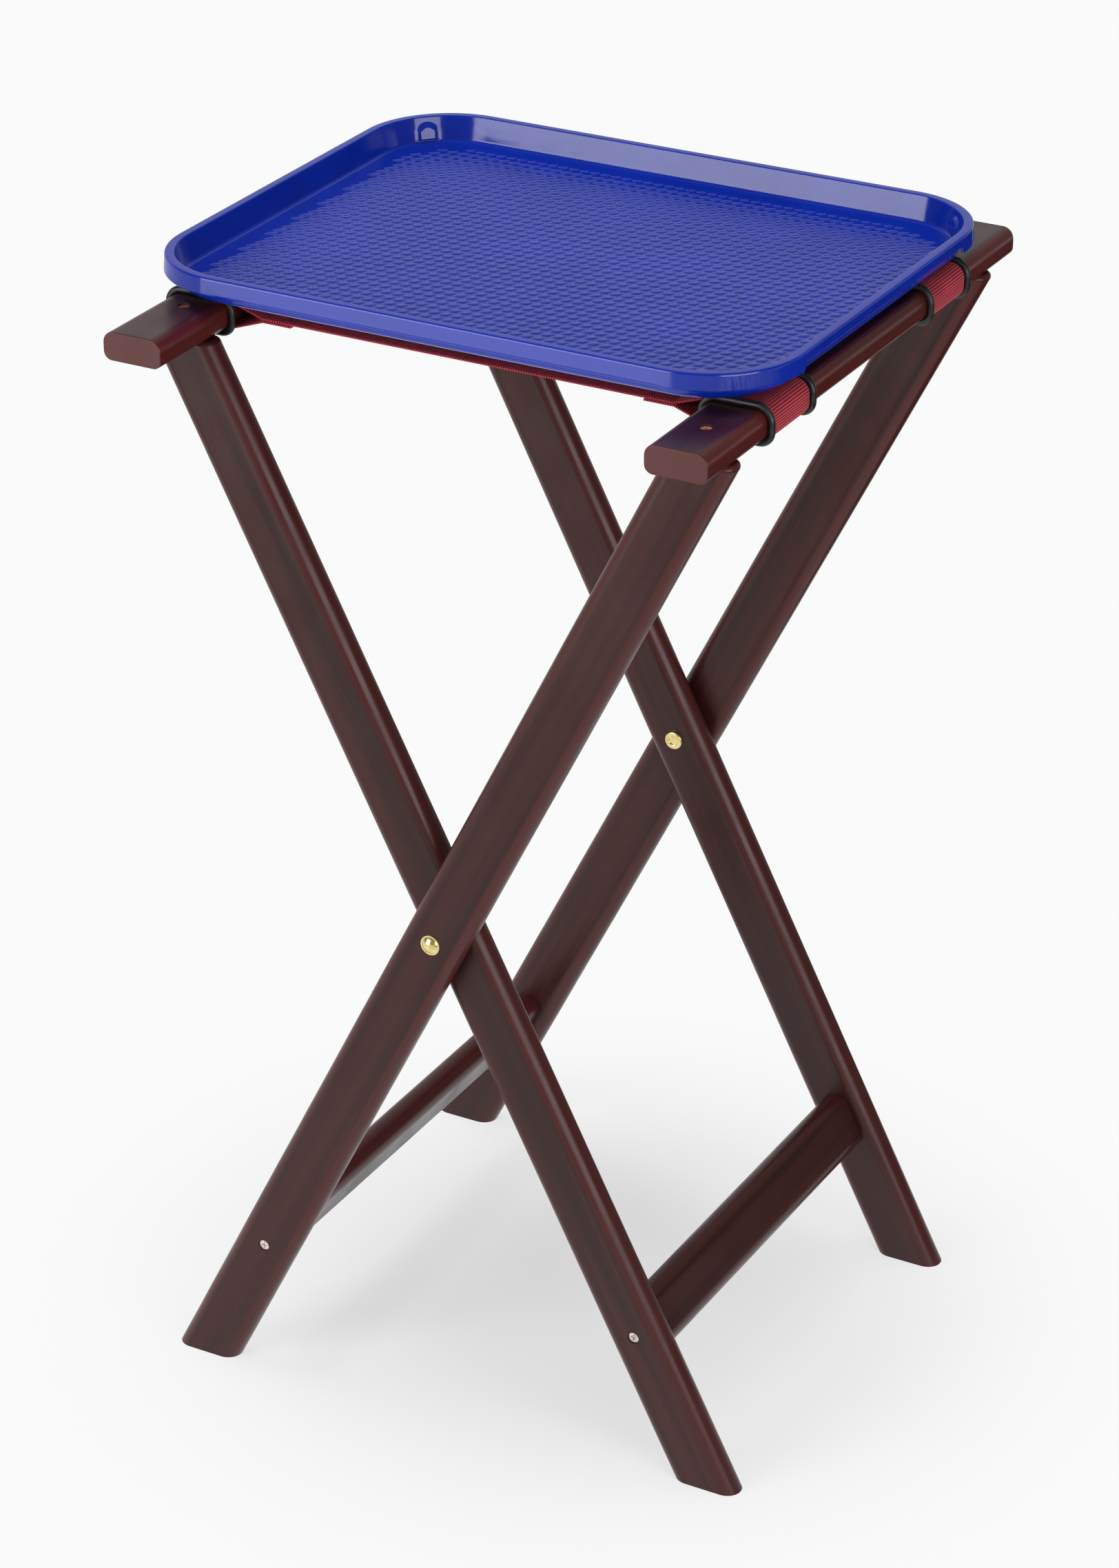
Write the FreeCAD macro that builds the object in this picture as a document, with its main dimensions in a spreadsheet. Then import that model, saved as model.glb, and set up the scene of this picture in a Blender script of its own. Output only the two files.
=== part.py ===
import FreeCAD, Part
import math
import os
import re
import Sketcher

Vector = FreeCAD.Vector
ALONG_X = Vector(1, 0, 0)
ALONG_Y = Vector(0, 1, 0)
ALONG_Z = Vector(0, 0, 1)

# Distance under which two places are the same, and the least volume that a cut has to take away
SAME_PLACE = 0.01
LEAST_CUT = 0.01

# Driving dimensions in millimetres, angles in degrees.
# X runs along the straps, Y along the rails, Z up. The origin is on the floor under the middle.
SIZES = {
    # Wood stock of the legs and stretchers
    "stock_width": 43.0,
    "stock_thickness": 20.5,
    "edge_round": 9.8,
    "edge_land": 0.8,
    # Rails on top of the legs
    "rail_width": 43.0,
    "rail_thickness": 19.5,
    "rail_length": 444.0,
    "rail_spacing": 386.0,
    "rail_top_height": 780.0,
    "rail_top_round": 8.0,
    "rail_bottom_round": 6.0,
    "rail_end_round": 0.8,
    # Legs and the stretchers between them
    "rail_overhang": 39.5,
    "leg_top_round": 3.0,
    "leg_gap": 1.0,
    "stretcher_height": 105.0,
    # Pivot rivets with a washer between the legs
    "rivet_shank": 7.0,
    "rivet_head": 14.0,
    "rivet_rim": 0.8,
    "rivet_dome": 12.0,
    "rivet_dome_height": 3.4,
    "rivet_flare": 13.2,
    "rivet_flare_height": 1.8,
    "rivet_roll": 0.8,
    "rivet_recess": 6.4,
    "rivet_recess_depth": 1.0,
    "pivot_clearance": 0.05,
    "axial_clearance": 0.3,
    "washer_diameter": 18.0,
    # Wood screws
    "screw_head": 8.4,
    "screw_head_height": 3.0,
    "screw_edge": 0.5,
    "screw_shank": 4.2,
    "screw_tip": 4.0,
    "screw_sink": 1.2,
    "rail_screw_length": 44.0,
    "stretcher_screw_length": 48.0,
    "cross_length": 4.6,
    "cross_width": 0.9,
    "cross_depth": 1.4,
    "screw_clearance": 0.05,
    "pilot_end": 0.5,
    # Rubber rings round the rails
    "ring_cord": 4.6,
    "ring_clearance": 0.05,
    "ring_side_gap": 0.4,
    # Webbing straps
    "strap_width": 51.0,
    "strap_thickness": 1.9,
    "strap_inset": 47.0,
    "strap_join": 23.0,
    "strap_hem": 21.0,
    "strap_clearance": 0.1,
    "strap_end_gap": 0.3,
    # Tray
    "tray_length": 450.0,
    "tray_width": 362.0,
    "tray_height": 20.6,
    "tray_corner": 63.0,
    "tray_shift_left": 5.0,
    "tray_shift_back": 11.0,
    "tray_wall": 2.4,
    "tray_floor": 2.6,
    "rim_width": 6.4,
    "rim_thickness": 2.6,
    "rim_outer_round": 1.4,
    "rim_inner_round": 1.0,
    "skirt_depth": 12.2,
    "side_cut": 5.2,
    "corner_reach": 64.0,
    "wall_draft": 14.0,
    "floor_round": 6.0,
    "tray_clearance": 0.3,
}

# Sizes worked out from the driving ones, written as expressions of their names
LEG_TOP = "(rail_top_height - rail_thickness)"
LEG_SLOPE = f"(rail_spacing / {LEG_TOP})"
LEG_LEAN = f"atan({LEG_SLOPE})"
LEG_CUT = f"(stock_width * sqrt(1 + {LEG_SLOPE} ^ 2))"
PIVOT_HEIGHT = f"({LEG_TOP} / 2)"
OUTER_LEG = "(rail_length / 2 - rail_overhang)"
INNER_LEG = f"({OUTER_LEG} - stock_thickness - leg_gap)"
STRAP_PLACE = f"({INNER_LEG} - strap_inset)"
STOCK_ROUND = "min(edge_round; (stock_thickness - edge_land) / 2)"
STRETCHER_SIDE = f"(rail_spacing / 2 - stretcher_height * {LEG_SLOPE})"
HEAD_SEAT = "(screw_sink + screw_head_height)"
RAIL_SCREW_REACH = "(screw_sink + rail_screw_length - rail_thickness)"
STRETCHER_SCREW_REACH = "(screw_sink + stretcher_screw_length - stock_thickness)"
RAIL_MIDDLE = "(rail_top_height - rail_thickness / 2)"

doc = FreeCAD.newDocument("TrayOnStand")
sheet = doc.addObject("Spreadsheet::Sheet", "Sizes")
for row, (size_name, size) in enumerate(SIZES.items(), 1):
    sheet.set(f"A{row}", size_name)
    sheet.set(f"B{row}", str(size))
    sheet.setAlias(f"B{row}", size_name)
doc.recompute()

sub_parts = []


def cell(expression):
    """Point every size name in an expression at its cell of the sheet."""
    return re.sub(r"[a-z_]+", lambda word: f"Sizes.{word[0]}" if word[0] in SIZES else word[0], expression)


def value(expression):
    """Number that an expression of size names gives."""
    return float(sheet.evalExpression(cell(expression)))


def keep(item, name):
    """Name a finished sub-part and add it to those that are written out."""
    item.Label = name
    sub_parts.append(item)


def place(item, x="0", y="0", z="0", axis=ALONG_Z, angle="0"):
    """Put an item at a place and turn that follow the sheet."""
    item.Placement = FreeCAD.Placement(Vector(), FreeCAD.Rotation(axis, value(angle)))
    for coordinate, expression in zip("xyz", (x, y, z)):
        item.setExpression(f"Placement.Base.{coordinate}", cell(expression))
    if angle != "0":
        item.setExpression("Placement.Rotation.Angle", cell(angle))


def new_sketch(body, name, plane_role, height="0"):
    """Sketch on one of the body's own planes, moved along its normal by a height."""
    sketch = body.newObject("Sketcher::SketchObject", name)
    plane = next(item for item in body.Origin.OriginFeatures if item.Role == plane_role)
    sketch.AttachmentSupport = [(plane, "")]
    sketch.MapMode = "FlatFace"
    if height != "0":
        sketch.setExpression("AttachmentOffset.Base.z", cell(height))
    return sketch


def limit(sketch, constraint, expression):
    """Add a constraint to a sketch and bind its size to the sheet."""
    index = sketch.addConstraint(constraint)
    sketch.setExpression(f"Constraints[{index}]", cell(expression))


def pin(sketch, geometry, end, x, y):
    """Hold one point of a sketch at a place given by two expressions."""
    for kind, axis, expression in (("DistanceX", -2, x), ("DistanceY", -1, y)):
        if expression == "0":
            sketch.addConstraint(Sketcher.Constraint("PointOnObject", geometry, end, axis))
        else:
            distance = Sketcher.Constraint(kind, -1, 1, geometry, end, value(expression))
            limit(sketch, distance, expression)


def add_outline(sketch, corners):
    """Closed outline of straight sides through corners given as expressions."""
    points = [Vector(value(x), value(y), 0) for x, y in corners]
    for start, end in zip(points, points[1:] + points[:1]):
        sketch.addGeometry(Part.LineSegment(start, end))
    for index, (x, y) in enumerate(corners):
        pin(sketch, index, 1, x, y)
        before = (index - 1) % len(corners)
        sketch.addConstraint(Sketcher.Constraint("Coincident", before, 2, index, 1))


def add_rectangle(sketch, half_x, half_y):
    """Rectangle about the sketch's origin."""
    add_outline(sketch, [
        (f"-{half_x}", f"-{half_y}"),
        (half_x, f"-{half_y}"),
        (half_x, half_y),
        (f"-{half_x}", half_y),
    ])


def add_rounded_rectangle(sketch, half_x, half_y, radii):
    """Rectangle about the origin with round corners, counted from the lower left one."""
    signs = [(-1, -1), (1, -1), (1, 1), (-1, 1)]
    corners = []
    for index, (sign_x, sign_y) in enumerate(signs):
        inner_x = f"{sign_x} * ({half_x} - {radii[index]})"
        inner_y = f"{sign_y} * ({half_y} - {radii[index]})"
        upright_end = (f"{sign_x} * {half_x}", inner_y)
        level_end = (inner_x, f"{sign_y} * {half_y}")
        corner_ends = (upright_end, level_end) if index % 2 == 0 else (level_end, upright_end)
        corners.append({"ends": corner_ends, "centre": (inner_x, inner_y), "radius": radii[index]})
    for index, corner in enumerate(corners):
        leave = corner["ends"][1]
        arrive = corners[(index + 1) % len(corners)]["ends"][0]
        points = [Vector(value(x), value(y), 0) for x, y in (leave, arrive)]
        sketch.addGeometry(Part.LineSegment(*points))
        pin(sketch, index, 1, *leave)
        pin(sketch, index, 2, *arrive)
    for index, corner in enumerate(corners):
        radius = value(corner["radius"])
        centre = Vector(*[value(place_along) for place_along in corner["centre"]], 0)
        start_angle = math.pi + index * math.pi / 2
        circle = Part.Circle(centre, ALONG_Z, radius)
        arc = sketch.addGeometry(Part.ArcOfCircle(circle, start_angle, start_angle + math.pi / 2))
        line_before = (index - 1) % len(corners)
        sketch.addConstraint(Sketcher.Constraint("Coincident", arc, 1, line_before, 2))
        sketch.addConstraint(Sketcher.Constraint("Coincident", arc, 2, index, 1))
        limit(sketch, Sketcher.Constraint("Radius", arc, radius), corner["radius"])


def add_circle(sketch, x, y, diameter):
    """Circle about a place given by two expressions."""
    centre = Vector(value(x), value(y), 0)
    index = sketch.addGeometry(Part.Circle(centre, ALONG_Z, value(diameter) / 2))
    pin(sketch, index, 3, x, y)
    limit(sketch, Sketcher.Constraint("Diameter", index, value(diameter)), diameter)


def pad(body, sketch, length, both_ways=False):
    """Solid raised from a sketch."""
    feature = body.newObject("PartDesign::Pad", f"{sketch.Name}_pad")
    feature.Profile = sketch
    feature.SideType = "Symmetric" if both_ways else "One side"
    feature.setExpression("Length", cell(length))
    doc.recompute()


def require_cut(feature):
    """Stop if a cut took nothing away."""
    doc.recompute()
    if feature.Shape.Volume > feature.BaseFeature.Shape.Volume - LEAST_CUT:
        raise RuntimeError(f"{feature.Name} cuts nothing")


def pocket(body, sketch, depth=None, reverse=False):
    """Cut from a sketch, against its normal unless reversed, right through without a depth."""
    feature = body.newObject("PartDesign::Pocket", f"{sketch.Name}_cut")
    feature.Profile = sketch
    feature.Reversed = reverse
    if depth is None:
        feature.Type = "ThroughAll"
        feature.SideType = "Symmetric"
    else:
        feature.setExpression("Length", cell(depth))
    require_cut(feature)


def fillet(body, name, radius, chosen):
    """Round the edges that a test chooses."""
    base = body.Tip
    edges = [f"Edge{index}" for index, edge in enumerate(base.Shape.Edges, 1) if chosen(edge)]
    feature = body.newObject("PartDesign::Fillet", name)
    feature.Base = (base, edges)
    feature.setExpression("Radius", cell(radius))
    doc.recompute()


def turn(body, sketch):
    """Solid turned from a half section about the upright axis of its sketch."""
    feature = body.newObject("PartDesign::Revolution", f"{sketch.Name}_turn")
    feature.Profile = sketch
    feature.ReferenceAxis = (sketch, ["V_Axis"])
    doc.recompute()


def at_height(edge, height):
    """Whether an edge lies flat at a height."""
    box = edge.BoundBox
    return abs(box.ZMin - height) < SAME_PLACE and abs(box.ZMax - height) < SAME_PLACE


def mirrored_pair(source, name):
    """Group of a sub-part on the near side and its mirror image on the far side."""
    far = doc.addObject("Part::Mirroring", f"{name}_far")
    far.Source = source
    far.Normal = ALONG_Y
    pair = doc.addObject("Part::Compound", name)
    pair.Links = [source, far]
    keep(pair, name)


# Legs


def make_leg(name, y, screw_face_far, turned):
    """Leaning leg with a flat foot, an eased flat top, a pivot bore and the seats of its screws."""
    body = doc.addObject("PartDesign::Body", name)
    side = new_sketch(body, f"{name}_side", "XZ_Plane")
    add_outline(side, [
        (f"-rail_spacing / 2 - {LEG_CUT} / 2", "0"),
        (f"-rail_spacing / 2 + {LEG_CUT} / 2", "0"),
        (f"rail_spacing / 2 + {LEG_CUT} / 2", LEG_TOP),
        (f"rail_spacing / 2 - {LEG_CUT} / 2", LEG_TOP),
    ])
    pad(body, side, "stock_thickness", both_ways=True)
    fillet(body, f"{name}_bullnose", STOCK_ROUND, lambda edge: edge.BoundBox.ZLength > value(PIVOT_HEIGHT))
    fillet(body, f"{name}_top", "leg_top_round", lambda edge: at_height(edge, value(LEG_TOP)))

    bores = new_sketch(body, f"{name}_bores", "XZ_Plane")
    add_circle(bores, "0", PIVOT_HEIGHT, "rivet_shank + 2 * pivot_clearance")
    add_circle(bores, f"-{STRETCHER_SIDE}", "stretcher_height", "screw_shank + 2 * screw_clearance")
    pocket(body, bores)

    face = "-stock_thickness / 2" if screw_face_far else "stock_thickness / 2"
    seat = new_sketch(body, f"{name}_screw_seat", "XZ_Plane", face)
    add_circle(seat, f"-{STRETCHER_SIDE}", "stretcher_height", "screw_head + 2 * screw_clearance")
    pocket(body, seat, HEAD_SEAT, reverse=screw_face_far)

    pilot = new_sketch(body, f"{name}_pilot", "XY_Plane", LEG_TOP)
    add_circle(pilot, "rail_spacing / 2", "0", "screw_shank + 2 * screw_clearance")
    pocket(body, pilot, f"{RAIL_SCREW_REACH} + pilot_end")

    place(body, y=y, angle="180" if turned else "0")
    keep(body, name)


make_leg("leg_outer_near", f"-{OUTER_LEG}", screw_face_far=False, turned=False)
make_leg("leg_outer_far", OUTER_LEG, screw_face_far=True, turned=False)
make_leg("leg_inner_near", f"-{INNER_LEG}", screw_face_far=True, turned=True)
make_leg("leg_inner_far", INNER_LEG, screw_face_far=False, turned=True)


# Rails


def make_rail(name, x, leg_y):
    """Rail lying flat across the tops of two legs, with a sunk screw over each."""
    body = doc.addObject("PartDesign::Body", name)
    section = new_sketch(body, f"{name}_section", "XZ_Plane")
    add_rounded_rectangle(section, "rail_width / 2", "rail_thickness / 2", [
        "rail_bottom_round",
        "rail_bottom_round",
        "rail_top_round",
        "rail_top_round",
    ])
    pad(body, section, "rail_length", both_ways=True)
    end = value("rail_length / 2")

    def at_end(edge):
        return abs(abs(edge.CenterOfMass.y) - end) < SAME_PLACE

    fillet(body, f"{name}_ends", "rail_end_round", at_end)

    bores = new_sketch(body, f"{name}_bores", "XY_Plane")
    seats = new_sketch(body, f"{name}_screw_seats", "XY_Plane", "rail_thickness / 2")
    for screw_y in (f"-{leg_y}", leg_y):
        add_circle(bores, "0", screw_y, "screw_shank + 2 * screw_clearance")
        add_circle(seats, "0", screw_y, "screw_head + 2 * screw_clearance")
    pocket(body, bores)
    pocket(body, seats, HEAD_SEAT)

    place(body, x=x, z=RAIL_MIDDLE)
    keep(body, name)


make_rail("rail_right", "rail_spacing / 2", OUTER_LEG)
make_rail("rail_left", "-rail_spacing / 2", INNER_LEG)


# Stretchers


def make_stretcher(name, x, leg_y, lean):
    """Stretcher between the inner faces of two legs, turned to their lean."""
    body = doc.addObject("PartDesign::Body", name)
    half_length = f"({leg_y} - stock_thickness / 2)"
    section = new_sketch(body, f"{name}_section", "XZ_Plane")
    add_rectangle(section, "stock_thickness / 2", "stock_width / 2")
    pad(body, section, f"2 * {half_length}", both_ways=True)
    fillet(body, f"{name}_bullnose", STOCK_ROUND, lambda edge: edge.BoundBox.YLength > value(half_length))
    for end, height, reverse in (("near", half_length, False), ("far", f"-{half_length}", True)):
        pilot = new_sketch(body, f"{name}_pilot_{end}", "XZ_Plane", height)
        add_circle(pilot, "0", "0", "screw_shank + 2 * screw_clearance")
        pocket(body, pilot, f"{STRETCHER_SCREW_REACH} + pilot_end", reverse)
    place(body, x=x, z="stretcher_height", axis=ALONG_Y, angle=lean)
    keep(body, name)


make_stretcher("stretcher_outer", f"-{STRETCHER_SIDE}", OUTER_LEG, LEG_LEAN)
make_stretcher("stretcher_inner", STRETCHER_SIDE, INNER_LEG, f"-{LEG_LEAN}")


# Screws


def make_screws(name, length, x, y, z, upright):
    """Pair of cross-recessed wood screws with the top of the head at the given place."""
    body = doc.addObject("PartDesign::Body", f"{name}_near")
    section = new_sketch(body, f"{name}_section", "XZ_Plane")
    add_outline(section, [
        ("0", "0"),
        ("screw_head / 2 - screw_edge", "0"),
        ("screw_head / 2", "-screw_edge"),
        ("screw_head / 2", "-screw_head_height"),
        ("screw_shank / 2", "-screw_head_height"),
        ("screw_shank / 2", f"screw_tip - {length}"),
        ("0", f"-{length}"),
    ])
    turn(body, section)
    recess = new_sketch(body, f"{name}_recess", "XY_Plane")
    arm = "cross_length / 2"
    half = "cross_width / 2"
    add_outline(recess, [
        (arm, f"-{half}"),
        (arm, half),
        (half, half),
        (half, arm),
        (f"-{half}", arm),
        (f"-{half}", half),
        (f"-{arm}", half),
        (f"-{arm}", f"-{half}"),
        (f"-{half}", f"-{half}"),
        (f"-{half}", f"-{arm}"),
        (half, f"-{arm}"),
        (half, f"-{half}"),
    ])
    pocket(body, recess, "cross_depth")
    place(body, x, y, z, axis=ALONG_X, angle="0" if upright else "90")
    mirrored_pair(body, name)


RAIL_SCREW_TOP = "rail_top_height - screw_sink"
for screws, screw_x, screw_leg in (
    ("rail_screws_right", "rail_spacing / 2", OUTER_LEG),
    ("rail_screws_left", "-rail_spacing / 2", INNER_LEG),
):
    make_screws(screws, "rail_screw_length", screw_x, f"-{screw_leg}", RAIL_SCREW_TOP, upright=True)
for screws, screw_x, screw_leg in (
    ("stretcher_screws_outer", f"-{STRETCHER_SIDE}", OUTER_LEG),
    ("stretcher_screws_inner", STRETCHER_SIDE, INNER_LEG),
):
    screw_top = f"screw_sink - {screw_leg} - stock_thickness / 2"
    make_screws(screws, "stretcher_screw_length", screw_x, screw_top, "stretcher_height", upright=False)


# Pivot rivets and the washers between the legs


def make_rivet(name, outer_face, head_turn):
    """Rivet with a domed head on the outer leg and a rolled end on the inner leg."""
    body = doc.addObject("PartDesign::Body", name)
    grip = "(2 * stock_thickness + leg_gap + axial_clearance)"
    section = new_sketch(body, f"{name}_section", "XZ_Plane")
    add_outline(section, [
        ("0", f"rivet_recess_depth - {grip} - rivet_flare_height"),
        ("rivet_recess / 2", f"rivet_recess_depth - {grip} - rivet_flare_height"),
        ("rivet_recess / 2", f"-{grip} - rivet_flare_height"),
        ("rivet_flare / 2", f"-{grip} - rivet_flare_height"),
        ("rivet_flare / 2", f"-{grip}"),
        ("rivet_shank / 2", f"-{grip}"),
        ("rivet_shank / 2", "0"),
        ("rivet_head / 2", "0"),
        ("rivet_head / 2", "rivet_rim"),
        ("0", "rivet_rim"),
    ])
    turn(body, section)
    flare_end = value(f"-{grip} - rivet_flare_height")
    fillet(body, f"{name}_roll", "rivet_roll", lambda edge: at_height(edge, flare_end))

    dome = new_sketch(body, f"{name}_dome", "XZ_Plane")
    rise = value("rivet_dome_height - rivet_rim")
    reach = value("rivet_dome / 2")
    radius = (reach ** 2 + rise ** 2) / (2 * rise)
    rim = value("rivet_rim")
    foot = Vector(0, rim, 0)
    edge = Vector(reach, rim, 0)
    crown = Vector(0, rim + rise, 0)
    circle = Part.Circle(Vector(0, rim + rise - radius, 0), ALONG_Z, radius)
    edge_angle = math.asin((radius - rise) / radius)
    dome.addGeometry(Part.LineSegment(foot, edge))
    dome.addGeometry(Part.ArcOfCircle(circle, edge_angle, math.pi / 2))
    dome.addGeometry(Part.LineSegment(crown, foot))
    pin(dome, 0, 1, "0", "rivet_rim")
    pin(dome, 0, 2, "rivet_dome / 2", "rivet_rim")
    pin(dome, 2, 1, "0", "rivet_dome_height")
    for first, first_end, second, second_end in ((0, 2, 1, 1), (1, 2, 2, 1), (2, 2, 0, 1)):
        dome.addConstraint(Sketcher.Constraint("Coincident", first, first_end, second, second_end))
    dome.addConstraint(Sketcher.Constraint("PointOnObject", 1, 3, -2))
    turn(body, dome)
    place(body, y=outer_face, z=PIVOT_HEIGHT, axis=ALONG_X, angle=head_turn)
    keep(body, name)


make_rivet("pivot_rivet_near", f"-{OUTER_LEG} - stock_thickness / 2", "90")
make_rivet("pivot_rivet_far", f"{OUTER_LEG} + stock_thickness / 2", "-90")


def make_washer(name, outer_leg_face, head_turn):
    """Flat washer seated against the outer leg, clear of the inner one."""
    disc = doc.addObject("Part::Cylinder", f"{name}_disc")
    disc.setExpression("Radius", cell("washer_diameter / 2"))
    disc.setExpression("Height", cell("leg_gap - axial_clearance"))
    bore = doc.addObject("Part::Cylinder", f"{name}_bore")
    bore.setExpression("Radius", cell("rivet_shank / 2 + pivot_clearance"))
    bore.setExpression("Height", cell("leg_gap - axial_clearance"))
    washer = doc.addObject("Part::Cut", name)
    washer.Base = disc
    washer.Tool = bore
    place(washer, y=outer_leg_face, z=PIVOT_HEIGHT, axis=ALONG_X, angle=head_turn)
    keep(washer, name)


make_washer("pivot_washer_near", f"-{OUTER_LEG} + stock_thickness / 2", "-90")
make_washer("pivot_washer_far", f"{OUTER_LEG} - stock_thickness / 2", "90")


# Rubber rings


def make_ring(name, x, y):
    """Cord of rubber closed round the rail."""
    body = doc.addObject("PartDesign::Body", name)
    offset = "(ring_clearance + ring_cord / 2)"
    path = new_sketch(body, f"{name}_path", "XZ_Plane")
    add_rounded_rectangle(path, f"(rail_width / 2 + {offset})", f"(rail_thickness / 2 + {offset})", [
        f"(rail_bottom_round + {offset})",
        f"(rail_bottom_round + {offset})",
        f"(rail_top_round + {offset})",
        f"(rail_top_round + {offset})",
    ])
    section = new_sketch(body, f"{name}_section", "YZ_Plane")
    add_circle(section, "0", f"-rail_thickness / 2 - {offset}", "ring_cord")
    doc.recompute()
    pipe = body.newObject("PartDesign::AdditivePipe", f"{name}_cord")
    pipe.Profile = section
    pipe.Spine = (path, [])
    place(body, x=x, y=y, z=RAIL_MIDDLE)
    keep(body, name)


RING_STEP = "(strap_width / 2 + ring_side_gap + ring_cord / 2)"
RING_PLACES = [
    f"-{STRAP_PLACE} - {RING_STEP}",
    f"-{STRAP_PLACE} + {RING_STEP}",
    f"{STRAP_PLACE} - {RING_STEP}",
    f"{STRAP_PLACE} + {RING_STEP}",
]
for rail_side, rail_x in (("right", "rail_spacing / 2"), ("left", "-rail_spacing / 2")):
    for count, ring_y in enumerate(RING_PLACES, 1):
        make_ring(f"rubber_ring_{rail_side}_{count}", rail_x, ring_y)


# Webbing straps


def strap_sizes():
    """Corner circles of the rail and the lines on which a strap's two layers leave it.

    Places are pairs: the distance from the rail's middle towards the other rail, and the height.
    """
    half_width = value("rail_width / 2")
    half_height = value("rail_thickness / 2")
    clearance = value("strap_clearance")
    join = Vector(half_width + value("strap_join"), 0, 0)
    layers = {}
    for layer, sign, corner in (("upper", 1, "rail_top_round"), ("lower", -1, "rail_bottom_round")):
        corner_round = value(corner)
        centre = Vector(half_width - corner_round, sign * (half_height - corner_round), 0)
        radius = corner_round + clearance
        reach = join - centre
        bearing = math.atan2(reach.y, reach.x) + sign * math.acos(radius / reach.Length)
        outward = Vector(math.cos(bearing), math.sin(bearing), 0)
        leaving = centre + outward * radius
        layers[layer] = {
            "centre": centre,
            "radius": radius,
            "bearing": bearing,
            "outward": outward,
            "leaving": leaving,
            "along": (join - leaving).normalize(),
        }
    return join, layers


def make_strap_piece(name, edges, side, y_middle):
    """Extrude a strap's side outline across its width and set it at its rail."""
    wire = Part.Wire(Part.__sortEdges__(edges))
    item = doc.addObject("Part::Feature", name)
    item.Shape = Part.Face(wire).extrude(ALONG_Y * value("strap_width"))
    place(item, f"{side} * rail_spacing / 2", f"{y_middle} - strap_width / 2", RAIL_MIDDLE)
    keep(item, name)


def beside_rail(point, side):
    """Place beside the rail for a distance towards the other rail and a height."""
    return Vector(-side * point.x, 0, point.y)


def loop_surface(layers, offset, side):
    """Arcs and lines round the rail, from the upper layer of a strap to the lower one."""
    upper = layers["upper"]
    lower = layers["lower"]
    quarter = math.pi / 2
    corners = [
        (upper, 1, upper["bearing"], quarter),
        (upper, -1, quarter, 2 * quarter),
        (lower, -1, 2 * quarter, 3 * quarter),
        (lower, 1, 3 * quarter, 4 * quarter + lower["bearing"]),
    ]
    edges = []
    for layer, end, start_angle, end_angle in corners:
        centre = Vector(end * layer["centre"].x, layer["centre"].y, 0)
        radius = layer["radius"] + offset
        points = []
        for angle in (start_angle, (start_angle + end_angle) / 2, end_angle):
            on_circle = centre + Vector(math.cos(angle), math.sin(angle), 0) * radius
            points.append(beside_rail(on_circle, side))
        if edges:
            edges.append(Part.makeLine(arc.lastVertex().Point, points[0]))
        arc = Part.Arc(*points).toShape()
        edges.append(arc)
    return edges


def make_strap_loop(name, side, y_middle):
    """Part of a strap that goes round a rail."""
    layers = strap_sizes()[1]
    inside = loop_surface(layers, 0, side)
    outside = loop_surface(layers, value("strap_thickness"), side)
    first_end = Part.makeLine(inside[0].firstVertex().Point, outside[0].firstVertex().Point)
    last_end = Part.makeLine(inside[-1].lastVertex().Point, outside[-1].lastVertex().Point)
    make_strap_piece(name, inside + outside + [first_end, last_end], side, y_middle)


def make_strap_span(name, side, y_middle):
    """Half of a strap's span: two layers that leave the rail, meet in a sewn hem and go on as one."""
    join, layers = strap_sizes()
    thickness = value("strap_thickness")
    gap = value("strap_end_gap")
    middle = value("rail_spacing / 2") - gap / 2
    hem_end = join.x + value("strap_hem")
    limbs = {}
    for name_of_layer, layer in layers.items():
        inside = layer["leaving"] + layer["along"] * gap
        outside = inside + layer["outward"] * thickness
        flat_height = thickness if name_of_layer == "upper" else -thickness
        bend = outside + layer["along"] * ((flat_height - outside.y) / layer["along"].y)
        limbs[name_of_layer] = [inside, outside, bend]
    points = limbs["upper"] + [
        Vector(middle, thickness, 0),
        Vector(middle, 0, 0),
        Vector(hem_end, 0, 0),
        Vector(hem_end, -thickness, 0),
    ] + limbs["lower"][::-1] + [join]
    places = [beside_rail(point, side) for point in points]
    edges = [Part.makeLine(start, end) for start, end in zip(places, places[1:] + places[:1])]
    make_strap_piece(name, edges, side, y_middle)


for strap_rail, rail_sign in (("right", 1), ("left", -1)):
    for strap_end, strap_y in (("near", f"-{STRAP_PLACE}"), ("far", STRAP_PLACE)):
        make_strap_loop(f"strap_loop_{strap_rail}_{strap_end}", rail_sign, strap_y)
        make_strap_span(f"strap_span_{strap_rail}_{strap_end}", rail_sign, strap_y)


# Tray


def tray_outline(body, name, height, inset):
    """Sketch of the tray's outline at a height, drawn in by an inset on every side."""
    sketch = new_sketch(body, name, "XY_Plane", height)
    corner = f"(tray_corner - {inset})"
    half_length = f"(tray_length / 2 - {inset})"
    half_width = f"(tray_width / 2 - {inset})"
    add_rounded_rectangle(sketch, half_length, half_width, [corner] * 4)
    return sketch


def loft(body, kind, name, lower, upper):
    """Drafted solid or cut between two outlines."""
    doc.recompute()
    feature = body.newObject(f"PartDesign::{kind}", name)
    feature.Profile = lower
    feature.Sections = [upper]
    feature.Ruled = True
    doc.recompute()
    return feature


def round_rim(body, name, radius, inset):
    """Round the edge that runs all along the top of the rim at an inset from the outside."""
    top = value("tray_height")
    centre = Part.Vertex(0, 0, top)
    reach = value(f"tray_width / 2 - {inset}")

    def on_long_side(edge):
        return at_height(edge, top) and abs(edge.distToShape(centre)[0] - reach) < SAME_PLACE

    fillet(body, name, radius, on_long_side)


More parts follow.
